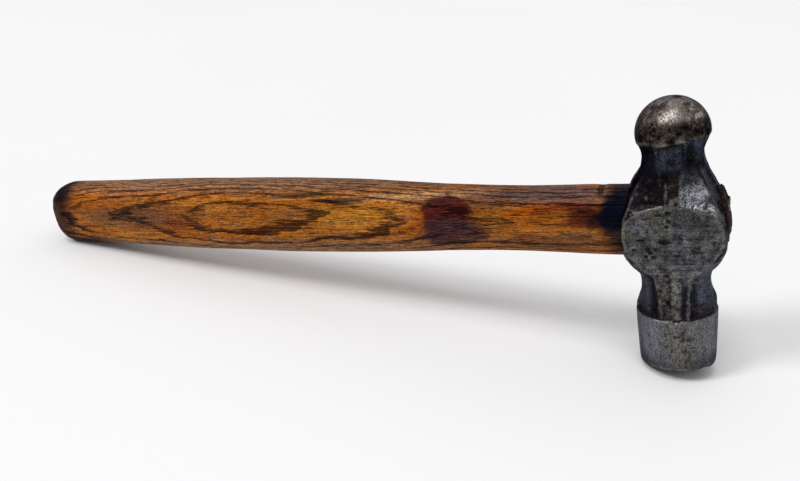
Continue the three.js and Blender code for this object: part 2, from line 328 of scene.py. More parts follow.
def head_rings():
    """Rings of the head from the middle of the face to the top of the ball."""
    around = 300
    # angles that are evenly spaced along the outline of the boss at its widest
    even = np.linspace(0, 2 * np.pi, 1440, endpoint=False)
    radius = blank_radius(even, np.full(even.shape, 54.0))
    outline = radius[:, None] * np.stack([np.cos(even), np.sin(even)], axis=1)
    steps = np.linalg.norm(np.roll(outline, -1, axis=0) - outline, axis=1)
    length = np.concatenate([[0], np.cumsum(steps)])
    angle = np.interp(np.arange(around) / around * length[-1], length, np.append(even, 2 * np.pi))

    face = [(FACE_RADIUS * t, FACE_CROWN * t**2) for t in np.linspace(0.08, 1, 12)]
    bevel = [(FACE_RADIUS + (BEVEL_RADIUS - FACE_RADIUS) * math.sin(t * math.pi / 2) ** 1.2,
              BEVEL_HEIGHT * (1 - math.cos(t * math.pi / 2)) ** 0.9)
             for t in np.linspace(0.14, 1, 8)]
    wall = [(BEVEL_RADIUS + (POLL_RADIUS - BEVEL_RADIUS) * t**0.8,
             BEVEL_HEIGHT + (POLL_TOP - 0.5 - BEVEL_HEIGHT) * t)
            for t in np.linspace(0.02, 1, 44)]
    rim = [(POLL_RADIUS - 0.04, POLL_TOP - 0.25), (POLL_RADIUS - 0.18, POLL_TOP - 0.08),
           (POLL_RADIUS - 0.45, POLL_TOP + 0.04)]
    turned = np.array(face + bevel + wall + rim)
    # rings lie closest along the boss
    forged = np.concatenate([np.linspace(POLL_TOP + 0.3, 42, 52), np.linspace(42.3, 66, 78),
                             np.linspace(66.3, 83.6, 48)])
    middle = HEAD_LENGTH - BALL_HEIGHT
    climb = np.linspace(math.asin((BALL_START - middle) / BALL_HEIGHT), math.pi / 2 * 0.985, 54)

    heights = np.concatenate([turned[:, 1], forged, middle + BALL_HEIGHT * np.sin(climb)])
    z, angle = np.broadcast_arrays(heights[:, None], angle[None, :])
    r = np.empty(z.shape)
    r[:len(turned)] = turned[:, :1]
    neck = slice(len(turned), None)
    r[neck] = blank_radius(angle[neck], z[neck])
    across = np.sqrt(np.maximum(1 - ((z[neck] - middle) / BALL_HEIGHT) ** 2, 1e-5))
    lip = lip_height(angle[neck])
    on_ball = smooth(z[neck], lip - 0.35, lip + 0.35)
    r[neck] = r[neck] + (BALL_RADIUS * across - r[neck]) * on_ball
    return np.stack([r * np.cos(angle), r * np.sin(angle), z], axis=-1)


def ring_normals(rings):
    """Outward normals of a skin of rings."""
    around = np.roll(rings, -1, axis=1) - np.roll(rings, 1, axis=1)
    along = np.gradient(rings, axis=0)
    normals = np.cross(around, along)
    return normals / np.maximum(np.linalg.norm(normals, axis=-1, keepdims=True), 1e-9)


def ridge(points, line, width, height, seed):
    """A raised, uneven seam on the -y side; line holds rows of z, x and how strong it is there."""
    place = curve(line, points[..., 2].ravel())
    x, strength = (part.reshape(points.shape[:-1]) for part in place.T)
    inside = (points[..., 2] > line[0][0]) & (points[..., 2] < line[-1][0]) & (points[..., 1] < 0)
    beads = 1 + 0.45 * noise(points, (3, 3, 0.9), seed, 2)
    return height * inside * strength * beads * np.exp(-((points[..., 0] - x) / width) ** 2)


SEAMS = (  # left by the dies: rows of z, x and strength, then width and height
    (((64.9, -1.9, 1.0), (68, -1.85, 1.0), (71.5, -1.7, 0.9), (73.2, -1.7, 0)), 0.42, 0.34),
    (((65.0, 2.4, 0.8), (69, 2.6, 0.9), (74, 3.3, 0.4), (78, 4, 0)), 0.50, 0.10),
    (((23.0, 1.1, 1.0), (30, 0.7, 1.0), (37, 0.2, 1.0), (42, 0.4, 0.5), (45, 0.4, 0)), 1.15, 0.34),
    (((23.4, -4.2, 0.9), (30, -4.8, 1.0), (37, -6.0, 0.9), (41, -7.2, 0)), 0.60, 0.18),
    (((24.0, 4.7, 0.8), (31, 4.8, 0.9), (37, 5.2, 0)), 0.45, 0.05),
    (((72.0, -3.2, 0), (76, -3.5, 0.9), (83, -4.0, 0.6), (86, -4.2, 0)), 0.55, 0.07),
    (((74.0, 0.1, 0), (78, 0.1, 0.9), (83, 0.2, 0.9), (86, 0.2, 0)), 0.45, 0.07),
)
DENTS = (  # x, z, half width, half height and depth of marks on the near cheek
    (-1.0, 62.6, 1.0, 0.85, 0.60), (-1.15, 59.9, 0.80, 0.75, 0.50), (-1.6, 57.9, 0.75, 0.60, 0.42),
    (-10.4, 52.9, 1.5, 0.55, 0.45), (-9.2, 52.5, 0.8, 0.5, 0.35), (-2.6, 52.3, 1.9, 1.0, 0.26),
    (-7.3, 48.4, 1.1, 0.8, 0.30), (-8.6, 47.2, 0.7, 0.6, 0.30), (-6.2, 46.9, 0.8, 0.5, 0.26),
    (-7.9, 49.9, 0.8, 0.6, 0.22), (-5.6, 49.6, 0.6, 0.5, 0.20), (3.1, 53.4, 0.6, 0.5, 0.15),
    (-12.6, 49.4, 0.8, 0.5, 0.18), (11.2, 58.2, 0.7, 0.5, 0.16), (8.6, 48.6, 1.3, 0.4, 0.15),
    (1.5, 47.2, 1.2, 0.6, 0.14), (-4.4, 62.2, 0.9, 0.5, 0.16), (13.4, 51.9, 0.5, 0.9, 0.16),
)


def dents(x, z, inner, outer):
    """The depth of each dent, and 1 in it to 0 outside, with a soft edge from inner to outer."""
    for dent_x, dent_z, half_x, half_z, depth in DENTS:
        reach = np.hypot((x - dent_x) / half_x, (z - dent_z) / half_z)
        yield depth, fall(reach, inner, outer)


def wear_head(rings):
    """Forging unevenness, seams, dents, chips and pits, moved along the normals."""
    x, y, z = np.moveaxis(rings, -1, 0)
    near = y < 0
    forged = smooth(z, POLL_TOP + 0.2, POLL_TOP + 2) * fall(z, 84.5, 86.5)
    flat = smooth(np.abs(y), CHEEK - 0.35, CHEEK - 0.12) * forged
    rough = forged * (1 - flat)
    out = 0.05 * noise(rings, 5.0, 11, 2) * (1 - 0.6 * flat)
    out += rough * (0.16 * noise(rings, 6.0, 12, 2) + 0.05 * noise(rings, 1.6, 13, 2))
    out += flat * 0.02 * noise(rings, (2.4, 2.4, 0.8), 14, 2)
    for index, (line, width, height) in enumerate(SEAMS):
        out += ridge(rings, line, width, height, 21 + index)
    for depth, mark in dents(x, z, 0.35, 1.15):
        out -= near * flat * depth * mark
    # ragged rim and chipped face
    rim = np.exp(-((z - POLL_TOP) / 0.9) ** 2) * (z <= POLL_TOP + 0.2)
    out -= rim * np.maximum(0, 0.35 * noise(rings, (2.2, 2.2, 9), 15, 2) - 0.05)
    out -= rim * near * np.exp(-((x - 0.7) / 1.1) ** 2)
    low = fall(z, 0.4, 4.6)
    chip = np.exp(-((x - 9.4) / 1.7) ** 2) * near + 0.6 * np.exp(-((x - 6.6) / 1.5) ** 2) * near
    out -= low * (0.75 * chip + np.maximum(0, 0.3 * noise(rings, (3.5, 3.5, 9), 16, 2) - 0.08))
    # pits: on the shoulders, in the middle of the poll and, finer, on the ball
    pits = np.maximum(0, noise(rings, 1.1, 17, 2) - 0.35)
    shoulder = near * smooth(x, 1.5, 4) * smooth(z, 60, 63) * fall(z, 72, 75) * (1 - flat)
    patch = blob(rings, (1.2, -13.6, 14.5), (4.6, 6, 7.5), 0.5, 18) * (z < POLL_TOP)
    ball = smooth(z, 86, 88)
    out -= pits * (0.08 + 0.32 * shoulder + 0.30 * patch + 0.10 * ball + 0.12 * rough)
    out -= ball * 0.10 * np.maximum(0, noise(rings, 3.2, 19, 1) - 0.2)
    out *= smooth(np.hypot(x, y), 0.8, 2.5)
    worn = rings + out[..., None] * ring_normals(rings)
    # the near edge of the face is battered back
    worn[..., 2] += 1.5 * fall(z, -1, 7) * smooth(-y, 3, 12)
    return worn


def eye_rings(grow, start, end, steps=24, around=96):
    """The space inside the eye from start to end, made larger all round by grow."""
    x = np.linspace(start, end, steps)
    height, width = curve(EYE, x).T
    return oval(x, np.full(steps, EYE_Z), height + grow, width + grow, SECTION_POWER, around)


def mixed(colour, other, amount):
    """A colour for each point, moved towards another one by amounts from 0 to 1."""
    return colour + (np.array(other) - colour) * np.clip(amount, 0, 1)[:, None]


def scale_look(points, side, ball, cloud, fine):
    """Colour of the forge scale on necks and shoulders, where steel is bared through it, and
    painted reflection and shade on some facets.
    """
    x, y, z = points.T
    end = smooth(np.abs(x), 8.5, 11.5) * fall(np.abs(y), 4, 8)
    look = np.array([0.006, 0.0065, 0.011]) * np.exp(0.5 * cloud + 0.5 * fine)[:, None]
    neck = smooth(z, 75, 78) * (1 - ball)
    look = mixed(look, (0.032, 0.040, 0.060), neck * smooth(side, -3.8, -3.2)
                 * fall(side, 2.6, 4.0) * (0.6 + 0.9 * fine))
    # painted reflection: the right-hand facets of the upper neck lighter and bluer towards the ball
    look = mixed(look, (0.064, 0.070, 0.096), neck * smooth(side, 6.2, 8.4) * smooth(z, 76.5, 82)
                 * (1 - end) * (0.5 + 0.5 * cloud))
    # upper shoulder: purplish scale on one flank, bared and pitted steel on the other, lighter
    # still by painted reflection of the lights
    upper = smooth(z, 58, 62) * fall(z, 74.5, 78)
    slanted = side + (z - 70) * 0.45
    look = mixed(look, (0.0075, 0.0048, 0.0072),
                 0.8 * upper * (1 - end) * fall(side, -2.2, -1.2))
    # bared, pitted steel, made lighter still by painted reflection of the lights
    bright = upper * smooth(side, 2.0, 3.2) * fall(slanted, 10.2, 11.6)
    bright *= 1 - 0.85 * smooth(z - 0.25 * side + 0.8 * noise(points, 3, 33), 67.5, 71.5)
    bright *= 1 - end
    look = mixed(look, (0.34, 0.345, 0.38), bright * (0.70 + 0.6 * fine))
    look = mixed(look, (0.018, 0.011, 0.011), 0.8 * upper * (1 - end) * smooth(side, -1.2, -0.4)
                 * fall(side, 1.6, 2.4))
    crest = (upper * (1 - end) * smooth(side, -2.4, -1.0) * fall(side, 2.0, 3.6)
             * fall(z, 69, 73))
    look = mixed(look, (0.115, 0.105, 0.100), crest * smooth(fine + 0.5 * cloud, 0.05, 0.55))
    look = mixed(look, (0.16, 0.16, 0.17),
                 0.6 * upper * (1 - end) * smooth(z, 64, 68) * smooth(slanted, 11.0, 12.0))
    # lower shoulder and neck: steel shows on the middle flat; the wedged side and the flanks are
    # lighter and bluer by painted reflection
    lower = smooth(z, POLL_TOP, POLL_TOP + 1) * fall(z, 42, 46)
    lean = (z - 30) * 0.14
    middle = smooth(side, -5.6 - lean, -4.6 - lean) * fall(side, 1.7, 2.3)
    look = mixed(look, (0.100, 0.095, 0.085), lower * middle * (0.50 + 0.3 * cloud + 0.9 * fine))
    flash = lower * smooth(side, -1.2, -0.4) * fall(side, 2.2, 2.9)
    look = mixed(look, (0.165, 0.16, 0.145), flash * (0.75 + 0.5 * fine))
    look = mixed(look, (0.014, 0.0145, 0.022), 0.8 * lower * smooth(side, 2.0, 3.2))
    # painted reflection: the wedged side lighter and bluer towards the shoulder
    low_side = lower * smooth(z, 34, 40) * smooth(side, 0.8, 3.0)
    look = mixed(look, (0.11, 0.112, 0.125), low_side * (0.8 + 0.4 * fine))
    # painted reflection: the outer flanks lighter and bluer
    flanks = smooth(side, 6.4, 9) + smooth(-side, 6.5, 9.5) * 0.75
    look = mixed(look, (0.082, 0.088, 0.105), lower * flanks * 0.9)
    # painted shade: the foot of the lower neck, just above the poll, is darkened
    foot = 0.45 + 0.55 * smooth(np.abs(side + 1.5), 3.2, 4.8)
    painted_neck_shade = lower * fall(z + 0.8 * fine, 24.0, 30.0) * foot
    return mixed(look, (0.008, 0.0045, 0.009), 0.85 * painted_neck_shade), bright


def cheek_look(points, cloud, fine):
    """Colour of the cheeks: ground long ago, now streaked, olive and brown."""
    x, y, z = points.T
    streak = noise(points, (7, 7, 0.75), 34, 2) + 0.6 * noise(points, (14, 14, 1.6), 35, 1)
    worn = np.minimum(0.50 * streak + 1.4 * fine + 0.2 * cloud, 0.32)
    look = np.array([0.083, 0.083, 0.090]) * np.exp(worn)[:, None]
    look = mixed(look, (0.082, 0.080, 0.056), 0.6 * smooth(noise(points, 5, 36, 2), 0.0, 0.7))
    for colour, amount, centre, radii in (
            ((0.036, 0.034, 0.039), 0.8, (-7.6, -13.4, 48.6), (3.8, 5, 3.1)),
            ((0.030, 0.030, 0.034), 0.5, (5.5, -13.4, 60.0), (8.0, 5, 3.6))):
        look = mixed(look, colour, amount * blob(points, centre, radii, 0.5, 37))
    look = mixed(look, (0.026, 0.023, 0.026), 0.8 * smooth(noise(points, 2.6, 38, 2), 0.25, 0.75))
    for depth, mark in dents(x, z, 0.8, 1.7):
        look = mixed(look, (0.007, 0.006, 0.007), (y < 0) * min(1, 4.6 * depth) * mark)
    return look


def poll_look(points, side, fine):
    """Colour of the poll, brushed up its sides, and where it is pitted and brown."""
    z = points[:, 2]
    brushing = 0.22 * noise(points, (1.4, 1.4, 14), 39, 2)
    look = np.array([0.140, 0.140, 0.160]) * np.exp(brushing)[:, None]
    look = mixed(look, (0.118, 0.114, 0.118), 0.7 * smooth(side, 3, 7))
    look = mixed(look, (0.175, 0.175, 0.195), 0.8 * smooth(side, 9, 12.5))
    # painted shade: the poll darker towards the bottom and over the down-facing bevel
    look = mixed(look, (0.044, 0.041, 0.052), 0.85 * fall(z, 3.5, 11.0))
    patch = blob(points, (1.2, -13.6, 14.0), (5.6, 7, 8.5), 0.6, 40)
    patch = np.maximum(patch, 0.5 * blob(points, (-3.0, 13.6, 11.0), (6.0, 7, 7.0), 0.6, 41))
    look = mixed(look, (0.120, 0.115, 0.100), patch * (0.7 + 0.9 * fine))
    brown = smooth(noise(points, 2.0, 42, 2), 0.3, 0.8)
    return mixed(look, (0.032, 0.026, 0.024), (0.35 + 0.5 * patch) * brown), patch


def ball_look(points, fine):
    """Colour of the ball, brown with age, lighter towards the top by painted reflection, with
    painted highlights.
    """
    z = points[:, 2]
    # painted reflection: the ball made lighter towards the top, as if lit from above
    lit_top = smooth(z + 1.6 * noise(points, 4.0, 43, 2), 89.5, 97.5)
    look = mixed(np.array([0.0085, 0.0022, 0.0018]), (0.165, 0.128, 0.108), lit_top)
    look = mixed(look, (0.235, 0.215, 0.200), smooth(z, 96.5, 99.0))
    scratched = smooth(noise(points, 0.9, 44, 2), 0.10, 0.7)
    # polished speckles, shown on the painted-lit top
    look = mixed(look, (0.32, 0.30, 0.275), 0.9 * scratched * lit_top)
    look = mixed(look, (0.020, 0.0065, 0.005), 0.8 * smooth(noise(points, 3.4, 45, 2), 0.1, 0.7))
    # painted highlight on the near side of the ball, where the light's reflection falls
    look = mixed(look, (0.20, 0.19, 0.18),
                 0.75 * blob(points, (1.1, -9.5, 95.6), (3.2, 3.2, 2.8), 0.7, 47))
    # painted highlight, speckled, to the right of the first, near the key light's reflection
    look = mixed(look, (0.48, 0.46, 0.43),
                 0.9 * blob(points, (8.0, -6.7, 94.3), (3.6, 3.6, 3.0), 0.6, 48)
                 * smooth(fine, -0.1, 0.5))
    return look, lit_top


def steel_look(points, convex):
    """Reflectance of the head at each point, with painted highlights, reflections and shade in
    places, its zones (cheek, poll, ball) and how pitted it is.
    """
    x, y, z = points.T
    flat_x = curve(BLANK, z)[:, 2]
    cheek = (smooth(flat_x - np.abs(x), -0.5, 0.1) * smooth(z, 39.4, 40.8)
             * fall(z, 65.0, 65.5) * smooth(np.abs(y), 12.4, 12.9))
    poll = fall(z, POLL_TOP - 0.1, POLL_TOP + 0.4)
    lip = lip_height(np.arctan2(y, x))
    ball = smooth(z, lip - 0.3, lip + 0.2)
    side = np.clip(-y / 3, -1, 1) * x  # the two sides are worn on opposite flanks
    cloud = noise(points, 6, 31, 3)
    fine = noise(points, 1.5, 32, 2)

    look, bright = scale_look(points, side, ball, cloud, fine)
    look = mixed(look, cheek_look(points, cloud, fine), cheek)
    poll_colour, patch = poll_look(points, side, fine)
    look = mixed(look, poll_colour, poll)
    ball_colour, lit_top = ball_look(points, fine)
    look = mixed(look, ball_colour, ball)
    # edges rubbed bright, hollows left dark
    rubbed = smooth(convex, 0.012, 0.07) * (0.5 + 0.6 * noise(points, 1.5, 46, 2))
    bare = 0.35 + 0.65 * (1 - smooth(z, 73, 76) * (1 - ball))
    look = mixed(look, (0.17, 0.165, 0.145), 0.75 * rubbed * bare)
    look = mixed(look, (0.018, 0.015, 0.014), 0.85 * smooth(-convex, 0.012, 0.06))
    scaled = 0.2 * smooth(z, POLL_TOP, POLL_TOP + 1) * (1 - cheek) * (1 - ball)
    pitted = (0.25 - scaled + 0.8 * bright + 0.75 * poll * patch + 0.35 * cheek
              + 0.5 * ball * lit_top - 0.2 * ball * (1 - lit_top))
    return look, np.stack([cheek, poll, ball], axis=1), np.clip(pitted, 0, 1)


def make_head(material):
    head = solid("hammer_head_forged", wear_head(head_rings()))
    carve(head, solid("eye_cutter", eye_rings(0, EYE[0][0], EYE[-1][0])))
    look, zones, pitted = steel_look(coordinates(head), convexity(head, 6))
    store(head, look=look, zones=zones, pitted=pitted)
    finish_piece(head, material, "hammer_head", 50)


# ---------------- handle and wedges
def handle_axis(x):
    """Height of the handle's middle."""
    return EYE_Z + np.maximum(0, HANG_START - x) * HANG


def end_face(x, y, z, seed):
    """How far a driven end stands at (y, z): domed, mushroomed and torn along its fibres."""
    spot = np.stack([np.zeros_like(y), y, z], axis=-1)
    dome = -END_DOME[0] * y**2 - END_DOME[1] * (z - EYE_Z) ** 2
    return (x - END_TEARING + dome + 0.36 * noise(spot, (9, 1.3, 2.6), seed, 3)
            + 0.25 * noise(spot, (9, 4.5, 4.5), seed + 5, 1))


def handle_rings():
    """Rings from the middle of the butt, along the grip, over the shoulder and through the eye."""
    around = 176
    inset = np.linspace(0, 1, 26) ** 1.6 * BUTT_ROUNDING
    grip = np.linspace(-HANDLE_LENGTH + BUTT_ROUNDING + 0.8, SHOULDER, 330)
    x = np.concatenate([-HANDLE_LENGTH + 0.5 + inset, grip])
    height, thickness = curve(HANDLE, x).T
    left = np.clip(1 - (x + HANDLE_LENGTH) / BUTT_ROUNDING, 0, 1)
    drop = BUTT_ROUNDING * 0.9 * (1 - np.sqrt(np.maximum(1 - left**2.2, 0)))
    outside = oval(x, handle_axis(x), height - drop, thickness - drop, SECTION_POWER, around)
    end = outside[0]
    middle = end.mean(axis=0)
    butt = np.array([middle + (end - middle) * t for t in np.linspace(0.06, 0.95, 14)])
    spread = np.linalg.norm(butt - middle, axis=-1)
    butt[..., 0] -= 0.4 * (1 - (spread / spread.max()) ** 2)
    grip_rings = np.concatenate([butt, outside])

    # the shoulder follows the side of the head
    pull = smooth(grip_rings[..., 0], SHOULDER_START, SHOULDER)
    side = -blank_side(grip_rings[..., 1], grip_rings[..., 2]) - CREVICE
    grip_rings[..., 0] += pull * (side - SHOULDER)

    mouth = oval([SHOULDER], [EYE_Z], [EYE_MOUTH[0] - CREVICE], [EYE_MOUTH[1] - CREVICE],
                 SECTION_POWER, around)
    mouth[..., 0] = -blank_side(mouth[..., 1], mouth[..., 2]) - CREVICE
    inside = eye_rings(-CREVICE, *TENON_INSIDE, 30, around)
    stub = eye_rings(-CREVICE, STUB, TENON_END, 14, around)
    swell = np.linspace(0, 1, 14)[:, None]
    centre = np.array([0, 0, EYE_Z])
    ragged = 1 + 0.5 * noise(stub, (9, 2, 2), 51, 2)
    mushroom = smooth(swell, 0.35, 0.9) * (1 - 0.5 * smooth(swell, 0.9, 1)) * ragged
    grown = 1 + 0.045 * mushroom[..., None]
    stub[..., 1:] = (stub - centre)[..., 1:] * grown + centre[1:]
    rim = stub[-1].copy()
    cap = cap_rings(rim, centre, np.linspace(0.97, 0.04, 44))
    cap[..., 0] = end_face(TENON_END, cap[..., 1], cap[..., 2], 52)
    rim_x = end_face(TENON_END, rim[:, 1], rim[:, 2], 52) - 0.25
    stub[..., 0] = STUB + (rim_x - STUB)[None, :] * swell
    return grip_rings, mouth, inside, stub, cap


KNOCKS = (  # centre, depth and radii of dents in the handle
    ((-101, -11, 55), 0.35, (2.4, 3, 0.9)), ((-62, -8, 47), 0.30, (3, 3, 1)),
    ((-140, -6, 75), 0.28, (4, 3, 1.6)), ((-222, -9, 51), 0.3, (2.5, 3, 1)),
    ((-24.5, -3, 70), 0.9, (1.6, 8, 2.0)), ((-178, 9, 70), 0.4, (3, 3, 1.6)),
    ((-236, -4, 77), 0.3, (5, 4, 2)), ((-48, 8, 60), 0.3, (2.0, 3, 1.2)),
    ((-287.5, -1, 76.5), 1.7, (6.0, 9, 4)), ((-283, 6, 49), 0.6, (3.4, 4, 3)),
)


def wear_handle(grip):
    """Whittling, hand wear, dents and raised grain on the outside of the handle."""
    x = grip[..., 0]
    away = fall(x, -24, -19)  # the shoulder keeps its fit against the head
    out = 0.20 * noise(grip, (38, 11, 11), 61, 2) + 0.07 * noise(grip, (16, 4, 4), 62, 2)
    out += 0.035 * noise(grip, (9, 0.9, 0.9), 63, 2)
    for place, depth, size in KNOCKS:
        reach = np.linalg.norm((grip - np.array(place)) / np.array(size), axis=-1)
        out -= depth * np.exp(-reach**2)
    butt = smooth(-x, HANDLE_LENGTH - 12, HANDLE_LENGTH - 2)
    out += butt * 0.16 * noise(grip, (2.4, 1.6, 1.6), 64, 3)
    return grip + (out * away)[..., None] * ring_normals(grip)


# How far the growth rings lie towards the near side, along x, from their dip under the belly.
BOW = (
    (-290, 4.2), (-268, 2.6), (-260, 1.95), (-250, 1.78), (-232, 1.64), (-217, 1.20),
    (-205, 0.60), (-192, 0.20), (-172, 0), (-152, 0.22), (-139, 0.60), (-122, 0.98),
    (-104, 1.24), (-82, 1.62), (-22, 2.1), (20, 2.3),
)
RING_WIDTH = 1.65
MIDDLE_RING = 19.98  # the ring number at y = 0 under the belly


def ring_number(points):
    """Which growth ring a point is in; the rings lie across y and dip under the grip's belly."""
    x, y, z = points.T
    bow = curve(BOW, x)[:, 0] - 0.040 * (z - 62)
    wander = 0.35 * noise(points, (60, 14, 14), 71, 2) + 0.25 * noise(points, (16, 4, 4), 72, 2)
    return (-y - bow + wander) / RING_WIDTH + MIDDLE_RING


STAINS_AND_SHADE = (  # centre, radii, colour, amount, softness, power
    ((-95, -2, 76), (48, 9, 5.2), (0.150, 0.084, 0.052), 0.75, 0.6, 3),
    ((-112, -6, 48), (44, 9, 4.4), (0.165, 0.088, 0.050), 0.70, 0.6, 3),
    ((-236, -9, 63), (32, 12, 6.5), (0.095, 0.045, 0.026), 0.72, 0.5, 2),
    ((-207, -10, 60), (9, 8, 4.5), (0.140, 0.030, 0.008), 0.60, 0.6, 2),
    ((-172, -9, 63), (30, 12, 6.0), (0.200, 0.072, 0.011), 0.55, 0.7, 2),
    ((-252, -9, 71), (30, 9, 4.5), (0.330, 0.090, 0.006), 0.60, 0.6, 2),
    ((-122, -9, 62), (17, 9, 6.0), (0.360, 0.150, 0.018), 0.65, 0.5, 2),
    ((-190, -2, 78), (90, 9, 5.0), (0.220, 0.125, 0.075), 0.80, 0.6, 3),
    ((-200, -4, 47), (76, 9, 4.2), (0.230, 0.130, 0.070), 0.78, 0.6, 3),
    ((-95, -7, 68.9), (24, 6, 1.1), (0.420, 0.235, 0.105), 0.70, 0.6, 3),
    ((-143, -7, 70.6), (12, 6, 0.9), (0.018, 0.011, 0.009), 0.85, 0.5, 2),
    ((-126, -8, 68.2), (11, 6, 1.1), (0.018, 0.013, 0.012), 0.90, 0.5, 2),
    ((-47, -5, 67.6), (29, 7, 3.6), (0.070, 0.050, 0.052), 0.82, 0.6, 2),
    ((-92, -10, 59.0), (4, 7, 6.5), (0.230, 0.046, 0.004), 0.65, 0.6, 2),
    ((-81.2, -10, 61.0), (10.4, 9, 6.8), (0.056, 0.007, 0.006), 0.97, 0.16, 4),
    ((-80.5, -10, 54.8), (13.2, 9, 5.2), (0.050, 0.019, 0.020), 0.94, 0.22, 3),
    ((-61, -10, 61), (10, 8, 6), (0.170, 0.060, 0.009), 0.82, 0.5, 2),
    ((-50, -10, 62.0), (9, 8, 3.4), (0.280, 0.066, 0.005), 0.88, 0.5, 2),
    ((-38, -10, 62.8), (11, 8, 2.6), (0.150, 0.026, 0.003), 0.90, 0.5, 2),
    ((-38, -10, 58.6), (13, 8, 3.4), (0.210, 0.062, 0.006), 0.88, 0.5, 2),
    ((-29.5, -10, 60.3), (6, 9, 4.6), (0.045, 0.008, 0.004), 0.94, 0.5, 2),
    ((-42, -10, 50), (28, 8, 4.2), (0.120, 0.050, 0.022), 0.75, 0.6, 2),
    ((-14.5, 0, 60), (8.4, 20, 22), (0.024, 0.013, 0.011), 0.94, 0.28, 2),
    ((-20.6, -9, 58.8), (7.0, 9, 5.2), (0.001, 0.0012, 0.008), 1.0, 0.45, 2),
    ((-17.4, -8, 63.6), (6.2, 9, 6.2), (0.001, 0.0012, 0.008), 1.0, 0.45, 2),
    ((-294, 0, 64), (24, 30, 30), (0.028, 0.011, 0.008), 0.93, 0.28, 2),
    ((-286, -6, 75), (15, 11, 8.5), (0.007, 0.003, 0.005), 0.96, 0.45, 2),
    # painted shade on the underside of the butt, where it rests on the floor
    ((-274, -4, 49.5), (19, 10, 3.6), (0.014, 0.008, 0.010), 0.92, 0.5, 2),
    ((-140, 9, 60), (26, 8, 8), (0.060, 0.022, 0.010), 0.6, 0.7, 2),
    ((-60, 9, 56), (14, 8, 9), (0.050, 0.012, 0.008), 0.8, 0.4, 3),
)
TENON_STAIN, TENON_STAIN_EDGE = (0.020, 0.010, 0.007), (-12.6, -12.2)  # colour; where it begins
WEDGE_STAIN, WEDGE_STAINED = (0.050, 0.030, 0.018), 0.75


def stains(points):
    """Colour of what has soaked into the wood and of the painted shade under the butt, times how
    strong it is, and the strength itself.
    """
    colour, strength = np.zeros_like(points), np.zeros(len(points))
    for index, (centre, radii, stain, amount, softness, power) in enumerate(STAINS_AND_SHADE):
        here = amount * blob(points, centre, radii, softness, 80 + index, power)
        colour = colour * (1 - here)[:, None] + np.array(stain) * here[:, None]
        strength = strength * (1 - here) + here
    tenon = smooth(points[:, 0], *TENON_STAIN_EDGE)
    colour = colour * (1 - tenon)[:, None] + np.array(TENON_STAIN) * tenon[:, None]
    return colour, strength * (1 - tenon) + tenon


def wedge_solid(name, size, end, across_z, centre_z, steps=6, grow=SLOT_GAP, seed=0):
    """A tapered wedge along x, with its end battered if it has a seed, or a cutter for its slot."""
    tip, tip_thick, end_thick, half_width = size
    x = np.linspace(tip - grow, end, steps)
    thick = np.interp(x, (tip, end), (tip_thick, end_thick)) / 2 + grow
    wide = np.full(steps, half_width + grow)
    height, width = (wide, thick) if across_z else (thick, wide)
    rings = oval(x, np.zeros(steps), height, width, WEDGE_POWER, 64)
    if seed:
        cap = cap_rings(rings[-1], np.array([end, 0, 0]), np.linspace(0.93, 0.06, 16))
        cap[..., 0] += 0.16 + 0.16 * noise(cap, (9, 1.1, 1.1), seed, 2)
        rings = np.concatenate([rings, cap])
    rings[..., 2] += centre_z
    return solid(name, rings)


def slots(wooden=True):
    """Cutters for the wedges' slots."""
    cutters = [wedge_solid("steel_slot", STEEL_WEDGE, SLOT_END, False, EYE_Z + up)
               for _, up, _, _ in STEEL_WEDGES]
    if wooden:
        cutters.append(wedge_solid("wood_slot", WOOD_WEDGE, SLOT_END, True, EYE_Z))
    return cutters


def make_handle(material):
    grip, *through_eye = handle_rings()
    handle = solid("handle_grip_and_tenon", np.concatenate([wear_handle(grip), *through_eye]))
    carve(handle, *slots())
    points = coordinates(handle)
    colour, strength = stains(points)
    store(handle, ring=ring_number(points), stain=colour, stained=strength,
          hollow=convexity(handle, 5))
    finish_piece(handle, material, "handle")


def make_wooden_wedge(material):
    wedge = wedge_solid("wooden_wedge_driven", WOOD_WEDGE, WOOD_END, True, EYE_Z, 46, 0, 91)
    points = coordinates(wedge)
    # it fills the eye from top to bottom, and its end is domed like the tenon's
    height = curve(EYE, np.clip(points[:, 0], -24, 24))[:, 0] - CREVICE
    points[:, 2] = EYE_Z + (points[:, 2] - EYE_Z) * height / WOOD_WEDGE[3]
    domed = smooth(points[:, 0], STUB, WOOD_DOMED)
    points[:, 0] -= END_DOME[1] * (points[:, 2] - EYE_Z) ** 2 * domed
    wedge.data.vertices.foreach_set("co", points.ravel())
    carve(wedge, *slots(wooden=False))
    points = coordinates(wedge)
    store(wedge, ring=points[:, 1] / 1.4 + 0.3 * noise(points, (20, 3, 3), 92, 2) + 40,
          stain=np.tile(WEDGE_STAIN, (len(points), 1)),
          stained=np.full(len(points), WEDGE_STAINED), hollow=convexity(wedge, 4))
    finish_piece(wedge, material, "wooden_wedge")


def make_steel_wedges(material):
    for name, up, end, seed in STEEL_WEDGES:
        wedge = wedge_solid(f"steel_wedge_{name}_driven", STEEL_WEDGE, end, False, EYE_Z + up,
                            40, 0, seed)
        store(wedge, hollow=convexity(wedge, 4))
        finish_piece(wedge, material, f"steel_wedge_{name}")


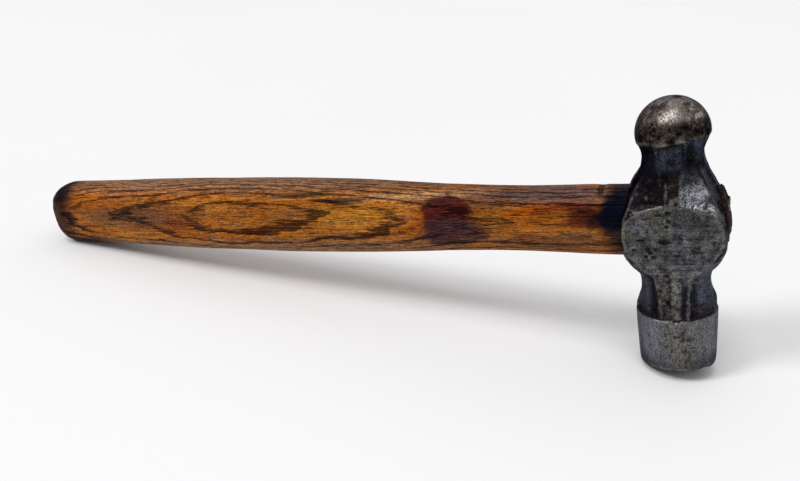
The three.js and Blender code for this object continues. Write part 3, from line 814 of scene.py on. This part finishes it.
# ---------------- materials
class Shader:
    """Short hand for the nodes of one material."""

    def __init__(self, name, **constants):
        self.material = bpy.data.materials.new(name)
        self.material.use_nodes = True
        self.tree = self.material.node_tree
        self.surface = self.tree.nodes["Principled BSDF"]
        for socket, value in constants.items():
            self.surface.inputs[socket.replace("_", " ")].default_value = value

    def connect(self, value, socket):
        if isinstance(value, bpy.types.NodeSocket):
            self.tree.links.new(value, socket)
        else:
            socket.default_value = value

    def node(self, kind, **inputs):
        """A new node with its named inputs set or connected."""
        node = self.tree.nodes.new("ShaderNode" + kind)
        for name, value in inputs.items():
            self.connect(value, node.inputs[name])
        return node

    def attribute(self, name, output="Vector"):
        node = self.node("Attribute")
        node.attribute_name = name
        return node.outputs[output]

    def stretched(self, vector, scale):
        node = self.node("VectorMath")
        node.operation = "MULTIPLY"
        self.connect(vector, node.inputs[0])
        node.inputs[1].default_value = scale
        return node.outputs[0]

    def parts(self, vector):
        return self.node("SeparateXYZ", Vector=vector).outputs

    def noise(self, vector, scale, detail=3, roughness=0.55, distortion=0):
        return self.node("TexNoise", Vector=vector, Scale=scale, Detail=detail,
                         Roughness=roughness, Distortion=distortion).outputs["Fac"]

    def cells(self, vector, scale):
        return self.node("TexVoronoi", Vector=vector, Scale=scale).outputs["Distance"]

    def math(self, operation, *values):
        node = self.node("Math")
        node.operation = operation
        for value, socket in zip(values, node.inputs):
            self.connect(value, socket)
        return node.outputs[0]

    def times(self, a, b):
        return self.math("MULTIPLY", a, b)

    def plus(self, a, b):
        return self.math("ADD", a, b)

    def less(self, a, b):
        return self.math("SUBTRACT", a, b)

    def span(self, value, low, high, to_low=0.0, to_high=1.0):
        node = self.node("MapRange")
        node.interpolation_type = "SMOOTHSTEP"
        for given, socket in zip((value, low, high, to_low, to_high), node.inputs):
            self.connect(given, socket)
        return node.outputs[0]

    def ramp(self, value, *stops):
        node = self.node("ValToRGB", Fac=value)
        elements = node.color_ramp.elements
        while len(elements) < len(stops):
            elements.new(0.5)
        for element, (place, colour) in zip(elements, stops):
            element.position, element.color = place, (*colour, 1)
        return node.outputs[0]

    def mix(self, amount, a, b, blend="MIX"):
        node = self.node("Mix")
        node.data_type, node.blend_type = "RGBA", blend
        sockets = {socket.identifier: socket for socket in node.inputs}
        self.connect(amount, sockets["Factor_Float"])
        for value, name in ((a, "A_Color"), (b, "B_Color")):
            self.connect((*value, 1) if isinstance(value, tuple) else value, sockets[name])
        return next(out for out in node.outputs if out.identifier == "Result_Color")

    def bump(self, height, millimetres):
        """A relief that is so many millimetres deep where height goes from 0 to 1."""
        node = self.node("Bump", Distance=millimetres / 1000, Height=height)
        self.connect(node.outputs[0], self.surface.inputs["Normal"])

    def paint(self, colour, roughness):
        self.connect(colour, self.surface.inputs["Base Color"])
        self.connect(roughness, self.surface.inputs["Roughness"])


def forged_steel():
    s = Shader("forged_steel_worn", Metallic=1.0, Specular_Tint=(0.40, 0.41, 0.46, 1))
    mm = s.attribute("mm")
    cheek, poll, ball = s.parts(s.attribute("zones"))
    pitted = s.attribute("pitted", "Fac")
    # grinding marks run across the cheeks and up the poll
    grinding = s.noise(s.stretched(mm, (0.10, 0.5, 1.9)), 1.0, 4, 0.7, 0.25)
    cross = s.noise(s.stretched(mm, (0.9, 0.9, 0.16)), 1.3, 3, 0.7)
    grain = s.noise(mm, 2.4, 4, 0.7)
    speckle = s.noise(mm, 1.05, 5, 0.65, 0.3)
    pits = s.span(s.cells(s.stretched(mm, (1, 1, 1.15)), 0.95), 0.12, 0.42)
    pits = s.math("MAXIMUM", pits, s.span(speckle, 0.50, 0.58))

    line = s.plus(s.times(s.less(grinding, 0.5), cheek),
                  s.times(s.less(cross, 0.5), s.times(poll, 0.7)))
    shade = s.plus(s.span(grain, 0.30, 0.70, 0.10, 2.0), s.times(line, 2.3))
    shade = s.math("MAXIMUM", shade, 0.10)
    colour = s.mix(1.0, s.attribute("look", "Color"), shade, "MULTIPLY")
    # dark pits, rust and sparks of bare metal
    dark = s.times(s.less(1.0, pits), s.times(pitted, 0.9))
    colour = s.mix(dark, colour, (0.014, 0.009, 0.008))
    rust = s.times(s.span(s.noise(mm, 0.55, 4, 0.7), 0.56, 0.72), 0.45)
    colour = s.mix(rust, colour, (0.058, 0.025, 0.014))
    spark = s.span(s.noise(s.stretched(mm, (1, 1, 1.3)), 3.1, 2, 0.6), 0.62, 0.72)
    spark = s.times(spark, s.times(pitted, 0.40))
    colour = s.mix(spark, colour, (0.42, 0.41, 0.39))

    rough = s.span(speckle, 0.3, 0.7, 0.34, 0.56)
    rough = s.plus(rough, s.times(dark, 0.25))
    rough = s.less(rough, s.times(ball, 0.08))
    s.paint(colour, rough)
    height = s.plus(s.times(grain, 0.25), s.times(speckle, 0.35))
    height = s.plus(height, s.times(s.times(pits, pitted), 0.5))
    height = s.plus(height, s.times(line, 0.9))
    s.bump(height, 0.11)
    return s.material


def wedge_steel():
    s = Shader("wedge_steel_rusty", Metallic=0.75)
    mm = s.attribute("mm")
    blotch = s.noise(mm, 0.9, 4, 0.65)
    grain = s.noise(mm, 3.2, 3, 0.6)
    colour = s.ramp(blotch, (0.35, (0.022, 0.014, 0.011)), (0.5, (0.055, 0.034, 0.024)),
                    (0.68, (0.105, 0.090, 0.080)))
    edge = s.span(s.attribute("hollow", "Fac"), 0.01, 0.05)
    colour = s.mix(edge, colour, (0.120, 0.100, 0.085))
    s.paint(colour, s.span(grain, 0.3, 0.7, 0.42, 0.72))
    s.bump(s.plus(s.times(grain, 0.5), blotch), 0.12)
    return s.material


HANDLE_WOOD = ((0.385, 0.104, 0.006), (0.130, 0.035, 0.006), (0.10, 0.12, 0.28))
WEDGE_WOOD = ((0.230, 0.130, 0.060), (0.110, 0.058, 0.028), (0.15, 0.16, 0.20))


def old_wood(name, amber, brown, dark):
    """Ring-porous wood: coarse dark pores crowd along each growth ring, under old oil and dirt."""
    s = Shader(name, Specular_IOR_Level=0.04)
    mm = s.attribute("mm")

    def fibres(along, across, *settings):
        return s.noise(s.stretched(mm, (along, across, across)), *settings)

    # early wood: a band at the start of each ring, ragged, and thicker in some places
    wobble = fibres(0.05, 0.30, 1, 3)
    ragged = fibres(0.12, 0.9, 1, 2)
    ring = s.plus(s.attribute("ring", "Fac"), s.times(wobble, 0.8))
    ring = s.plus(ring, s.times(s.less(ragged, 0.5), 0.42))
    turn = s.math("FRACT", ring)
    early = s.times(s.span(turn, 0.0, 0.06), s.less(1.0, s.span(turn, 0.15, 0.46)))
    thick = fibres(0.030, 0.12, 1.0, 2)
    early = s.times(early, s.span(thick, 0.32, 0.62, 0.45, 1.25))
    # pores, fibres and broad sweeps of colour, all drawn out along the handle
    pore = fibres(0.11, 2.0, 1.3, 4, 0.75, 0.2)
    grit = fibres(0.6, 2.2, 1.1, 2, 0.7)
    fine = fibres(0.16, 3.2, 1.2, 3, 0.7)
    streak = fibres(0.045, 1.0, 1.25, 3, 0.6, 0.3)
    sweep = fibres(0.030, 0.16, 1.0, 4, 0.65)
    threshold = s.less(0.63, s.times(early, 0.17))
    pores = s.span(s.less(pore, threshold), -0.07, 0.04)
    flecks = s.span(fine, 0.48, 0.62)

    bright = (1.25 * amber[0], 1.9 * amber[1], 4.0 * amber[2])
    wood = s.ramp(sweep, (0.30, brown), (0.50, amber), (0.72, bright))
    wood = s.mix(s.times(s.span(fine, 0.48, 0.34), 0.70), wood, bright)
    tint = fibres(0.045, 0.20, 1.3, 4, 0.65)
    wood = s.mix(s.span(tint, 0.53, 0.68, 0, 0.6), wood, (0.200, 0.040, 0.003))
    wood = s.mix(s.span(tint, 0.48, 0.36, 0, 0.75), wood, (0.130, 0.075, 0.042))
    wood = s.mix(s.times(early, 0.80), wood, brown)
    wood = s.mix(s.times(flecks, 0.60), wood, brown)
    wood = s.mix(s.span(streak, 0.46, 0.34, 0, 0.65), wood, (0.480, 0.215, 0.060))
    # stains and the painted shade under the butt stand in for the wood's own colour, then dark
    # streaks, pores and darkening in hollows
    stain_shade = s.span(pore, 0.32, 0.66, 1.55, 0.35)
    kept = s.less(1.0, s.attribute("stained", "Fac"))
    wood = s.mix(1.0, s.mix(1.0, wood, kept, "MULTIPLY"),
                 s.mix(1.0, s.attribute("stain", "Color"), stain_shade, "MULTIPLY"), "ADD")
    wood = s.mix(s.span(streak, 0.56, 0.66, 0, 0.60), wood, dark, "MULTIPLY")
    wood = s.mix(1.0, wood, s.span(grit, 0.32, 0.68, 0.60, 1.58), "MULTIPLY")
    wood = s.mix(s.times(pores, 0.82), wood, dark, "MULTIPLY")
    # darker in hollows
    hollows_darker = s.span(s.times(s.attribute("hollow", "Fac"), -1.0), 0.01, 0.09)
    wood = s.mix(s.times(hollows_darker, 0.8), wood, dark, "MULTIPLY")
    s.paint(wood, s.plus(s.span(fine, 0.3, 0.7, 0.38, 0.52), s.times(pores, 0.25)))
    height = s.plus(s.times(s.less(1.0, pores), 0.7), s.times(fine, 0.35))
    s.bump(s.plus(height, s.times(early, -0.25)), 0.16)
    return s.material


def floor_paint():
    s = Shader("pale_floor")
    cloud = s.noise(s.node("TexCoord").outputs["Object"], 1.5)
    s.paint(s.ramp(cloud, (0.3, (0.862, 0.860, 0.870)), (0.7, (0.874, 0.872, 0.882))),
            s.span(cloud, 0.3, 0.7, 0.62, 0.68))
    return s.material


# ---------------- floor, light and camera
FLOOR_SIDE = 12.0
KEY_SUN = ((-0.13, -0.37, 1.0), 24, 0.88)  # where it shines from, degrees across, strength
FILL_SUN = ((-0.53, -0.51, 0.68), 15, 1.24)
SKY = ((0.05, (0.21, 0.21, 0.22)), (0.7, (0.680, 0.680, 0.680)))  # height and colour

LENS = 35
CAMERA_AIM = Vector((0.027438, 0, 0.029853))
CAMERA_DISTANCE = 0.32035
CAMERA_AZIMUTH, CAMERA_ELEVATION, CAMERA_ROLL = (math.radians(a) for a in (21.478, 22.878, 1.743))


def make_floor():
    mesh = bpy.data.meshes.new("floor")
    half = FLOOR_SIDE / 2
    mesh.from_pydata([(-half, -half, 0), (half, -half, 0), (half, half, 0), (-half, half, 0)], [],
                     [(0, 1, 2, 3)])
    mesh.materials.append(floor_paint())
    floor = joined("floor", mesh)


def add_sun(name, from_direction, degrees, strength):
    light = bpy.data.lights.new(name, "SUN")
    light.energy, light.angle = strength, math.radians(degrees)
    towards = Vector(from_direction).normalized()
    joined(name, light).rotation_euler = towards.to_track_quat("Z", "Y").to_euler()


def make_light():
    add_sun("key", *KEY_SUN)
    add_sun("fill", *FILL_SUN)
    world = bpy.data.worlds.new("studio")
    bpy.context.scene.world = world
    world.use_nodes = True
    nodes, links = world.node_tree.nodes, world.node_tree.links
    direction = nodes.new("ShaderNodeTexCoord").outputs["Generated"]
    split = nodes.new("ShaderNodeSeparateXYZ")
    ramp = nodes.new("ShaderNodeValToRGB")
    for element, (height, colour) in zip(ramp.color_ramp.elements, SKY):
        element.position, element.color = height, (*colour, 1)
    links.new(direction, split.inputs[0])
    links.new(split.outputs["Z"], ramp.inputs[0])
    links.new(ramp.outputs[0], nodes["Background"].inputs["Color"])


def make_camera():
    azimuth, elevation = CAMERA_AZIMUTH, CAMERA_ELEVATION
    level = math.cos(elevation)
    back = Vector((math.sin(azimuth) * level, -math.cos(azimuth) * level, math.sin(elevation)))
    right = Vector((math.cos(azimuth), math.sin(azimuth), 0))
    up = back.cross(right)
    rolled = right * math.cos(CAMERA_ROLL) + up * math.sin(CAMERA_ROLL)
    lens = bpy.data.cameras.new("camera")
    lens.lens = LENS
    camera = joined("camera", lens)
    turn = Matrix((rolled, back.cross(rolled), back)).transposed()
    camera.matrix_world = Matrix.Translation(CAMERA_AIM + back * CAMERA_DISTANCE) @ turn.to_4x4()
    bpy.context.scene.camera = camera
    bpy.context.scene.view_settings.view_transform = "Standard"


make_camera()
make_light()
make_floor()
make_head(forged_steel())
make_handle(old_wood("handle_wood_oiled", *HANDLE_WOOD))
make_wooden_wedge(old_wood("wedge_wood_dirty", *WEDGE_WOOD))
make_steel_wedges(wedge_steel())
